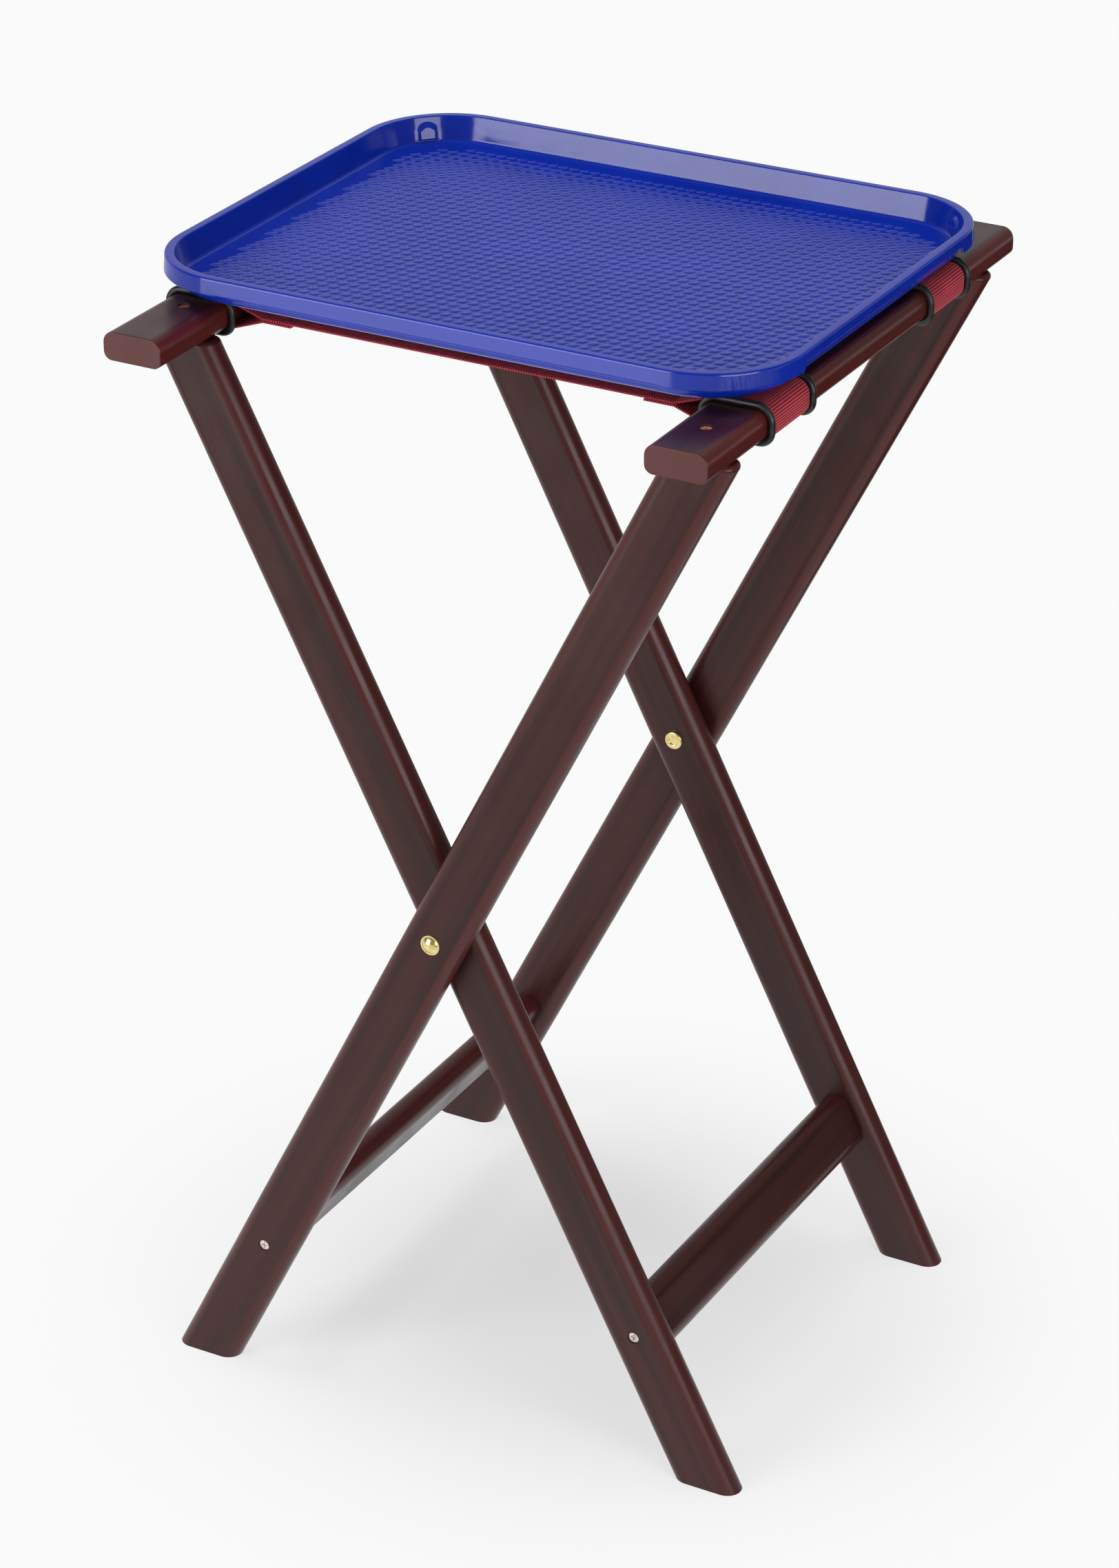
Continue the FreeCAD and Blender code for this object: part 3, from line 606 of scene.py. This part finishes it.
RAIL_ROUND_TOP = 8 * MM
RAIL_ROUND_BOTTOM = 6 * MM
STRAP_WIDTH = 51 * MM
STRAP_THICKNESS = 1.9 * MM
STRAP_CLEARANCE = 0.1 * MM
STRAP_JOIN = 23 * MM
STRAP_HEM = 21 * MM
STRAP_END_GAP = 0.3 * MM
RIB_PITCH = 1.8 * MM
RIB_STEPS = 6
RIB_HEIGHT = 0.30 * MM
RIB_FULLNESS = 0.8
SELVEDGE_SCALLOP = 0.45 * MM
SELVEDGE_SQUARENESS = 40
ACROSS_SHARES = (0.0, 0.35, 0.7, 0.9, 0.965, 0.99)
# Points on the bends round a rail: its inner corners, and its outer corners at the top and the bottom
INNER_BEND_POINTS = 9
TOP_BEND_POINTS = 25
BOTTOM_BEND_POINTS = 17
# Sewn box and cross that close the hem
STITCH_HEM_INSET = 2.4 * MM
STITCH_SIDE_INSET = 4.0 * MM
STITCH_PITCH = 3.4 * MM
STITCH_LENGTH = 2.9 * MM
STITCH_WIDTH = 0.8 * MM
STITCH_SUNK = 0.35 * MM
STITCH_PROUD = 0.05 * MM
# Shares along a stitch, each with the share of its rise there
STITCH_STATIONS = ((-0.5, 0.0), (-0.3, 1.0), (0.3, 1.0), (0.5, 0.0))
WEBBING_RED_DEEP = (0.400, 0.0300, 0.0430)
WEBBING_RED = (0.510, 0.0430, 0.0570)
WEBBING_YARN = (0.50, 0.060, 0.075)
# Painted shade in the grooves between the ribs
WEBBING_GROOVE_PAINTED_SHADE = (0.055, 0.0030, 0.0062)
WEBBING_SHEEN = (0.85, 0.20, 0.28)
WEBBING_CLOUD_SCALE = 60.0
YARN_SCALE = (300, 1700, 300)
YARN_DEPTH = 0.18 * MM
THREAD_DARK = (0.016, 0.0030, 0.0060)
THREAD_RED = (0.040, 0.0060, 0.0120)
TWIST_SCALE = (1500, 900, 900)
TWIST_DEPTH = 0.05 * MM


def strap_path(rail):
    """Middle line of half a strap beside a rail, as distances towards the other rail and heights.

    It runs from the middle of the span, round the rail and back to the end of the hem underneath.
    """
    low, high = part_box(rail)
    half_width = (high.x - low.x) / 2
    half_height = (high.z - low.z) / 2
    off = STRAP_CLEARANCE + STRAP_THICKNESS / 2
    layer = STRAP_THICKNESS / 2
    join = np.array((half_width + STRAP_JOIN, 0.0))
    limbs = {}
    for name, sign, corner in (("upper", 1, RAIL_ROUND_TOP), ("lower", -1, RAIL_ROUND_BOTTOM)):
        centre = np.array((half_width - corner, sign * (half_height - corner)))
        reach = join - centre
        clear = corner + STRAP_CLEARANCE
        bearing = math.atan2(reach[1], reach[0]) + sign * math.acos(clear / np.hypot(*reach))
        outward = np.array((math.cos(bearing), math.sin(bearing)))
        leaving = centre + outward * (corner + off)
        along = join - (centre + outward * clear)
        along = along / np.hypot(*along)
        bend = leaving + along * ((sign * layer - leaving[1]) / along[1])
        limbs[name] = (math.degrees(bearing), centre, corner + off, bend)
    upper_bearing, upper, upper_radius, upper_bend = limbs["upper"]
    lower_bearing, lower, lower_radius, lower_bend = limbs["lower"]
    middle = abs(box_middle(rail).x) - STRAP_END_GAP / 2
    points = [(middle, layer), tuple(upper_bend)]
    points += arc_points(upper, upper_radius, upper_bearing, 90, INNER_BEND_POINTS)
    points += arc_points((-upper[0], upper[1]), upper_radius, 90, 180, TOP_BEND_POINTS)
    points += arc_points((-lower[0], lower[1]), lower_radius, 180, 270, BOTTOM_BEND_POINTS)
    points += arc_points(lower, lower_radius, 270, 360 + lower_bearing, INNER_BEND_POINTS)
    points += [tuple(lower_bend), (join[0] + STRAP_HEM, -layer)]
    return np.array(points)


def even_points(points, step):
    """Points at even steps along a line, with the directions and the distances from its start."""
    lengths = np.hypot(*np.diff(points, axis=0).T)
    travel = np.concatenate(([0.0], np.cumsum(lengths)))
    count = math.ceil(travel[-1] / step)
    places = np.linspace(0.0, travel[-1], count + 1)
    line = np.column_stack([np.interp(places, travel, points[:, axis]) for axis in (0, 1)])
    tangents = np.gradient(line, places, axis=0)
    tangents /= np.hypot(*tangents.T)[:, None]
    return line, tangents, places


def make_strap(side, end, material):
    """Half of a ribbed strap, from the middle of the span round its rail to the sewn hem."""
    rail = f"rail_{side}"
    sign = 1 if side == "right" else -1
    rail_middle = box_middle(rail)
    strap_y = box_middle(f"strap_loop_{side}_{end}").y
    line, tangents, places = even_points(strap_path(rail), RIB_PITCH / RIB_STEPS)
    crest = np.abs(np.sin(math.pi * places / RIB_PITCH)) ** RIB_FULLNESS
    shares = [-share for share in reversed(ACROSS_SHARES[1:])] + list(ACROSS_SHARES)
    ring = [(share, 1.0) for share in shares] + [(share, -1.0) for share in reversed(shares)]
    points = []
    crests = []
    for (x, z), (along_x, along_z), rib in zip(line, tangents, crest):
        half_width = STRAP_WIDTH / 2 - SELVEDGE_SCALLOP * (1 - rib)
        half_thick = STRAP_THICKNESS / 2 - RIB_HEIGHT * (1 - rib)
        normal = np.array((-along_z, along_x))
        for share, face in ring:
            thick = half_thick * math.sqrt(max(1.0 - abs(share) ** SELVEDGE_SQUARENESS, 0.0))
            place = np.array((x, z)) + normal * face * thick
            points.append((
                rail_middle.x - sign * place[0],
                strap_y + share * half_width,
                rail_middle.z + place[1],
            ))
            crests.append(rib)
    count = len(ring)
    faces = []
    for index in range(len(line) - 1):
        for step in range(count):
            first = index * count + step
            second = index * count + (step + 1) % count
            faces.append((first, second, second + count, first + count))
    last = (len(line) - 1) * count
    faces.append(tuple(range(count)))
    faces.append(tuple(reversed(range(last, last + count))))
    piece = new_piece(f"strap_{side}_{end}", points, faces, material)
    fix_normals(piece)
    attribute = piece.data.attributes.new("rib", "FLOAT", "POINT")
    attribute.data.foreach_set("value", crests)
    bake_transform(piece)
    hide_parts(f"strap_loop_{side}_{end}", f"strap_span_{side}_{end}")


def webbing_material():
    """Dark red ribbed webbing, with shade painted into the grooves between the ribs."""
    shader = Shader("strap_webbing")
    place = shader.coordinates()
    rib = shader.add("Attribute", attribute_name="rib").outputs["Fac"]
    cloud = shader.noise(place, WEBBING_CLOUD_SCALE, 3.0, 0.6)
    yarn = shader.noise(shader.stretch(place, YARN_SCALE), 1.0, 3.0, 0.6)
    lit = shader.blend(shader.span(cloud, 0.3, 0.7), WEBBING_RED_DEEP, WEBBING_RED)
    fibre = shader.blend(shader.span(yarn, 0.45, 0.75, 0.0, 0.6), lit, WEBBING_YARN)
    # Painted shade: the colour darkens from the crests of the ribs down into the grooves
    colour = shader.blend(shader.span(rib, 0.35, 0.92), WEBBING_GROOVE_PAINTED_SHADE, fibre)
    relief = shader.bump(yarn, YARN_DEPTH, 0.6)
    return shader.finish(
        Base_Color=colour,
        Roughness=0.8,
        Normal=relief,
        Specular_IOR_Level=0.25,
        Sheen_Weight=0.4,
        Sheen_Roughness=0.45,
        Sheen_Tint=WEBBING_SHEEN,
    )


def stitch_lines(rail):
    """Sewn lines on a hem, as pairs of places: distances towards the other rail and across the strap."""
    low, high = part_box(rail)
    start = (high.x - low.x) / 2 + STRAP_JOIN + STITCH_HEM_INSET
    finish = start + STRAP_HEM - 2 * STITCH_HEM_INSET
    edge = STRAP_WIDTH / 2 - STITCH_SIDE_INSET
    places = ((start, -edge), (finish, -edge), (finish, edge), (start, edge))
    corners = [Vector(place) for place in places]
    box = list(zip(corners, corners[1:] + corners[:1]))
    return box + [(corners[0], corners[2]), (corners[1], corners[3])]


def add_stitch(points, faces, middle, along, base, face):
    """One stitch: a low ridge with sloping ends, closed underneath."""
    across = Vector((-along.y, along.x)) * STITCH_WIDTH / 2
    first = len(points)
    for share, rise in STITCH_STATIONS:
        place = middle + along * share * STITCH_LENGTH
        top = base + face * rise * (STITCH_SUNK + STITCH_PROUD)
        section = ((-1.0, base), (-0.5, top), (0.5, top), (1.0, base))
        for side, height in section:
            spot = place + across * side
            points.append((spot.x, spot.y, height))
    count = len(section)
    for station in range(len(STITCH_STATIONS) - 1):
        low = first + count * station
        high = low + count
        for step in range(count):
            following = (step + 1) % count
            faces.append((low + step, low + following, high + following, high + step))


def make_stitches(side, end, material):
    """Box and cross of stitches on both faces of a hem."""
    rail = f"rail_{side}"
    sign = 1 if side == "right" else -1
    rail_middle = box_middle(rail)
    strap_y = box_middle(f"strap_loop_{side}_{end}").y
    points = []
    faces = []
    for face in (1, -1):
        base = rail_middle.z + face * (STRAP_THICKNESS - STITCH_SUNK)
        for start, finish in stitch_lines(rail):
            run = finish - start
            count = round(run.length / STITCH_PITCH)
            along = Vector((-sign * run.x, run.y)).normalized()
            for index in range(count):
                spot = start + run * (index + 0.5) / count
                middle = Vector((rail_middle.x - sign * spot.x, strap_y + spot.y))
                add_stitch(points, faces, middle, along, base, face)
    piece = new_piece(f"stitches_{side}_{end}", points, faces, material)
    fix_normals(piece)
    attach(piece, f"straps_{side}")


def thread_material():
    """Dark red sewing thread with a slight twist."""
    shader = Shader("hem_thread")
    place = shader.coordinates()
    twist = shader.noise(shader.stretch(place, TWIST_SCALE), 1.0, 2.0, 0.5)
    colour = shader.blend(shader.span(twist, 0.35, 0.65), THREAD_DARK, THREAD_RED)
    relief = shader.bump(twist, TWIST_DEPTH, 0.5)
    return shader.finish(Base_Color=colour, Roughness=0.75, Normal=relief, Specular_IOR_Level=0.3)


def make_straps():
    """Both straps, each in two halves."""
    webbing = webbing_material()
    thread = thread_material()
    for side in ("right", "left"):
        for end in ("near", "far"):
            make_strap(side, end, webbing)
            make_stitches(side, end, thread)


# Studio

FLOOR_REACH = 12.0
FLOOR_PALE = (0.900, 0.902, 0.910)
FLOOR_PALER = (0.915, 0.917, 0.925)
FLOOR_CLOUD_SCALE = 1.4
FLOOR_GLOW = (0.955, 0.957, 0.965, 1.0)
# Distances between which the glow takes over from the lit floor, and its share near the object
FLOOR_NEAR = 0.08
FLOOR_FAR = 0.44
FLOOR_LIFT = 0.46
# Distances between which the glow fades in reflections, and its strength at both
FLOOR_MIRROR_NEAR = 0.3
FLOOR_MIRROR_FAR = 1.5
FLOOR_MIRROR_BRIGHT = 0.95
FLOOR_MIRROR_DIM = 0.72
# Corners of the card, just above the floor
FLAG_CORNERS = ((0.75, -2.6), (3.2, -2.6), (3.2, 3.0), (0.15, 3.0), (0.15, 0.55), (0.75, 0.20))
FLAG_HEIGHT = 0.004
FLAG_BLACK = (0.010, 0.010, 0.010)
FLAG_GREY = (0.030, 0.030, 0.030)
FELT_SCALE = 30.0
# Strength of the world for soft light, and in reflections in front and behind
WORLD_FILL = 0.42
WORLD_DIM = 0.10
WORLD_BEHIND = 0.58
# Level direction of the bright side behind the stand, and where towards it the world turns bright
WORLD_AWAY = (-0.60, 0.80, 0.0)
WORLD_TURN_START = 0.35
WORLD_TURN_END = 0.80
# Lamps: place, aim, width, height, power in watts and whether reflections show them
STAND_MIDDLE = (0.0, 0.0, 0.5)
APRON_AIM = (0.0, 0.0, 0.17)
LAMPS = {
    "key_softbox": ((-1.25, -2.30, 1.13), STAND_MIDDLE, 1.5, 1.6, 36, True),
    "key_apron": ((-1.25, -2.30, 0.17), APRON_AIM, 1.5, 0.32, 2.4, True),
    "top_softbox": ((-0.2, 0.1, 2.7), STAND_MIDDLE, 1.3, 1.3, 27, False),
    "right_softbox": ((2.05, -1.25, 0.95), STAND_MIDDLE, 1.7, 1.3, 26, True),
}


def make_floor():
    """Plain pale floor that keeps the shadow near the object and fades to white away from it."""
    shader = Shader("studio_floor")
    place = shader.coordinates()
    cloud = shader.noise(place, FLOOR_CLOUD_SCALE, 3.0, 0.5)
    colour = shader.blend(shader.span(cloud, 0.3, 0.7), FLOOR_PALE, FLOOR_PALER)
    shader.finish(Base_Color=colour, Roughness=0.9, Specular_IOR_Level=0.1)
    path = shader.add("LightPath").outputs
    seen = shader.calculate("MAXIMUM", path["Is Camera Ray"], path["Is Transmission Ray"])
    mirrored = path["Is Glossy Ray"]
    distance = shader.add("VectorMath", {0: place}, operation="LENGTH").outputs["Value"]
    lift = shader.span(distance, FLOOR_NEAR, FLOOR_FAR, FLOOR_LIFT, 1.0)
    ends = (FLOOR_MIRROR_BRIGHT, FLOOR_MIRROR_DIM)
    dimmer = shader.span(distance, FLOOR_MIRROR_NEAR, FLOOR_MIRROR_FAR, *ends)
    strength = shader.calculate("MAXIMUM", seen, shader.calculate("MULTIPLY", dimmer, mirrored))
    glow = shader.add("Emission", {"Color": FLOOR_GLOW, "Strength": strength}).outputs[0]
    share = shader.calculate("MAXIMUM", shader.calculate("MULTIPLY", lift, seen), mirrored)
    mixed = shader.add("MixShader", {0: share, 1: shader.surface.outputs[0], 2: glow})
    shader.put(shader.tree.nodes["Material Output"].inputs["Surface"], mixed.outputs[0])
    signs = ((-1, -1), (1, -1), (1, 1), (-1, 1))
    points = [(x * FLOOR_REACH, y * FLOOR_REACH, 0.0) for x, y in signs]
    floor = new_piece("studio_floor", points, [(0, 1, 2, 3)], shader.material)


def make_flag():
    """Dark card low at the right, met only by reflections, that keeps the right-hand faces deep."""
    shader = Shader("studio_flag")
    place = shader.coordinates()
    felt = shader.noise(place, FELT_SCALE, 3.0, 0.6)
    colour = shader.blend(felt, FLAG_BLACK, FLAG_GREY)
    shader.finish(Base_Color=colour, Roughness=1.0, Specular_IOR_Level=0.0)
    points = [(x, y, FLAG_HEIGHT) for x, y in FLAG_CORNERS]
    flag = new_piece("studio_flag", points, [tuple(range(len(points)))], shader.material)
    flag.visible_camera = False
    flag.visible_diffuse = False
    flag.visible_transmission = False
    flag.visible_shadow = False


def make_world():
    """White for the camera, brighter behind than in front for reflections, and a plain fill otherwise."""
    world = bpy.data.worlds.new("studio")
    bpy.context.scene.world = world
    world.use_nodes = True
    nodes = Nodes(world.node_tree)
    path = nodes.add("LightPath").outputs
    away = nodes.dot(nodes.coordinates("Generated"), WORLD_AWAY)
    inputs = {
        "Value": away,
        "From Min": WORLD_TURN_START,
        "From Max": WORLD_TURN_END,
        "To Min": WORLD_DIM,
        "To Max": WORLD_BEHIND,
    }
    behind = nodes.add("MapRange", inputs).outputs["Result"]
    mirrored = nodes.calculate("MAXIMUM", path["Is Glossy Ray"], path["Is Transmission Ray"])
    shown = nodes.calculate("MULTIPLY", mirrored, behind)
    seen = nodes.calculate("MAXIMUM", shown, path["Is Camera Ray"])
    spread = nodes.calculate("MULTIPLY", path["Is Diffuse Ray"], WORLD_FILL)
    strength = nodes.calculate("MAXIMUM", seen, spread)
    background = nodes.tree.nodes["Background"]
    background.inputs["Color"].default_value = (1.0, 1.0, 1.0, 1.0)
    nodes.put(background.inputs["Strength"], strength)


def add_softbox(name, place, aim, width, height, power, mirrored):
    """Rectangular lamp that the camera doesn't see, and reflections only if they may."""
    lamp = bpy.data.lights.new(name, "AREA")
    lamp.shape = "RECTANGLE"
    lamp.size = width
    lamp.size_y = height
    lamp.energy = power
    item = bpy.data.objects.new(name, lamp)
    item.location = place
    item.rotation_mode = "QUATERNION"
    item.rotation_quaternion = (Vector(aim) - Vector(place)).to_track_quat("-Z", "Y")
    item.visible_camera = False
    item.visible_glossy = mirrored
    bpy.context.scene.collection.objects.link(item)


def make_lamps():
    """Soft key at the front left with a dim apron, a lamp overhead and a broad one at the right front."""
    for name, lamp in LAMPS.items():
        add_softbox(name, *lamp)


def make_camera():
    """Camera at the photograph's place and angle."""
    azimuth, elevation, roll = map(math.radians, (CAMERA_AZIMUTH, CAMERA_ELEVATION, CAMERA_ROLL))
    level = math.cos(elevation)
    back = Vector((level * math.sin(azimuth), -level * math.cos(azimuth), math.sin(elevation)))
    right = Vector((math.cos(azimuth), math.sin(azimuth), 0.0))
    up = back.cross(right)
    rolled_right = right * math.cos(roll) + up * math.sin(roll)
    rolled_up = up * math.cos(roll) - right * math.sin(roll)
    data = bpy.data.cameras.new("camera")
    data.sensor_width = SENSOR
    data.lens = FOCAL_PIXELS / IMAGE_HEIGHT * SENSOR
    camera = bpy.data.objects.new("camera", data)
    turn = Matrix((rolled_right, rolled_up, back)).transposed()
    camera.matrix_world = Matrix.Translation(CAMERA_PLACE) @ turn.to_4x4()
    bpy.context.scene.collection.objects.link(camera)
    bpy.context.scene.camera = camera


dress_wood()
dress_hardware()
make_tray()
make_straps()
make_floor()
make_flag()
make_world()
make_lamps()
make_camera()
bpy.context.scene.view_settings.view_transform = "Standard"
